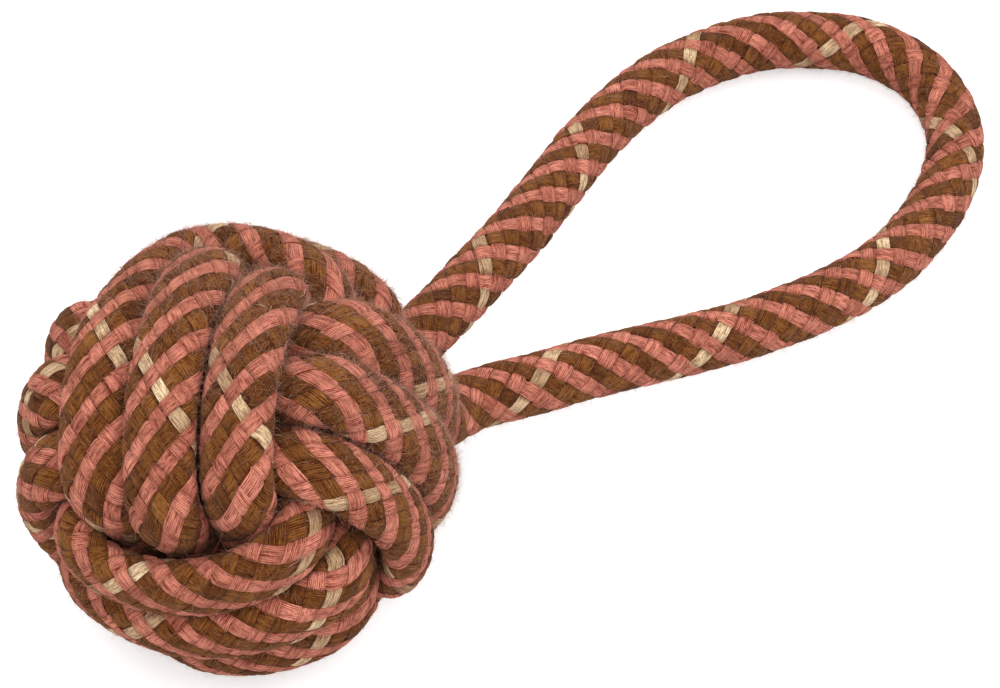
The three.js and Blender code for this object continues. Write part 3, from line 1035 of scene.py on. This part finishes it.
def floor_paper():
    """White paper that the camera sees as white, with the object's shadow left on it."""
    material, start = new_material("floor_paper")
    coordinates = start.node("ShaderNodeTexCoord", output="Object")
    grain = start.node("ShaderNodeTexNoise", inputs={
        "Vector": coordinates, "Scale": 900.0, "Detail": 2.0}, output="Fac")
    colour = mixed(start, grain, *PAPER_TONES)
    matt = start.node("ShaderNodeBsdfDiffuse", inputs={"Color": colour})
    glow = start.node("ShaderNodeEmission", inputs={"Color": (1, 1, 1, 1), "Strength": 0.42})
    both = start.node("ShaderNodeAddShader", inputs={0: matt, 1: glow})
    dull = start.node("ShaderNodeBsdfDiffuse", inputs={"Color": (0.65, 0.65, 0.65, 1)})
    shader = start.node("ShaderNodeMixShader", inputs={"Fac": seen_white(start), 1: dull, 2: both})
    finish_material(start, shader)
    return material


# The floor's size in metres and its cells, and the share of its seen white that the sky sheds
FLOOR_SIZE = 12
FLOOR_CELLS = 8
SKY_LIGHT = 0.6

# Each lamp's name, place, size and power, and the point that all of them shine at
LAMPS = (
    ("key", (-0.45, -0.42, 1.05), 0.5, 6.0),
    ("fill", (0.7, -0.35, 0.9), 0.8, 4.5),
    ("back", (0.1, 0.9, 0.8), 0.8, 3.0))
LAMP_TARGET = (0.05, 0, 0.03)


class TOY_OT_studio(bpy.types.Operator):
    """Lay the white floor and set the lamps, the sky and the camera"""

    bl_idname = "toy.studio"
    bl_label = "Studio"

    def execute(self, context):
        settings = context.scene.toy_studio
        scene = context.scene
        bpy.ops.mesh.primitive_grid_add(
            x_subdivisions=FLOOR_CELLS, y_subdivisions=FLOOR_CELLS, size=FLOOR_SIZE,
            location=(0, 0, 0))
        floor = context.object
        floor.name = "floor"
        floor.data.materials.append(floor_paper())

        world = bpy.data.worlds.new("studio_sky")
        world.use_nodes = True
        world.node_tree.nodes.clear()
        start = Link(world.node_tree, None)
        sky = start.node("ShaderNodeBackground", inputs={
            "Color": (1, 1, 1, 1), "Strength": seen_white(start) * (1 - SKY_LIGHT) + SKY_LIGHT})
        start.node("ShaderNodeOutputWorld", inputs={"Surface": sky})
        scene.world = world

        for name, place, size, power in LAMPS:
            lamp = bpy.data.lights.new(name, "AREA")
            lamp.size = size
            lamp.energy = power
            holder = bpy.data.objects.new(name, lamp)
            holder.matrix_world = aim(place, LAMP_TARGET)
            scene.collection.objects.link(holder)

        lens = bpy.data.cameras.new("camera")
        lens.lens = settings.lens
        lens.sensor_width = 36
        lens.clip_start = 0.01
        camera = bpy.data.objects.new("camera", lens)
        camera.matrix_world = aim(
            settings.camera_place, settings.camera_target, settings.camera_roll)
        scene.collection.objects.link(camera)
        scene.camera = camera
        scene.view_settings.view_transform = "Standard"
        return {"FINISHED"}


class TOY_PT_panel(bpy.types.Panel):
    """The toy's pieces in the order they are made"""

    bl_idname = "TOY_PT_panel"
    bl_label = "Rope Toy"
    bl_space_type = "VIEW_3D"
    bl_region_type = "UI"
    bl_category = "Rope Toy"

    def draw(self, context):
        for settings in (context.scene.toy_rope, context.scene.toy_studio):
            for name in settings.__annotations__:
                self.layout.prop(settings, name)
        for operator in OPERATORS:
            self.layout.operator(operator.bl_idname)


OPERATORS = (TOY_OT_studio, TOY_OT_core, TOY_OT_windings, TOY_OT_handle)
CLASSES = (RopeSettings, StudioSettings, *OPERATORS, TOY_PT_panel)


def register():
    for item in CLASSES:
        bpy.utils.register_class(item)
    bpy.types.Scene.toy_rope = PointerProperty(type=RopeSettings)
    bpy.types.Scene.toy_studio = PointerProperty(type=StudioSettings)


def unregister():
    del bpy.types.Scene.toy_studio
    del bpy.types.Scene.toy_rope
    for item in reversed(CLASSES):
        bpy.utils.unregister_class(item)


def main():
    register()
    bpy.ops.toy.studio()
    bpy.ops.toy.core()
    bpy.ops.toy.windings()
    bpy.ops.toy.handle()


if __name__ == "__main__":
    main()
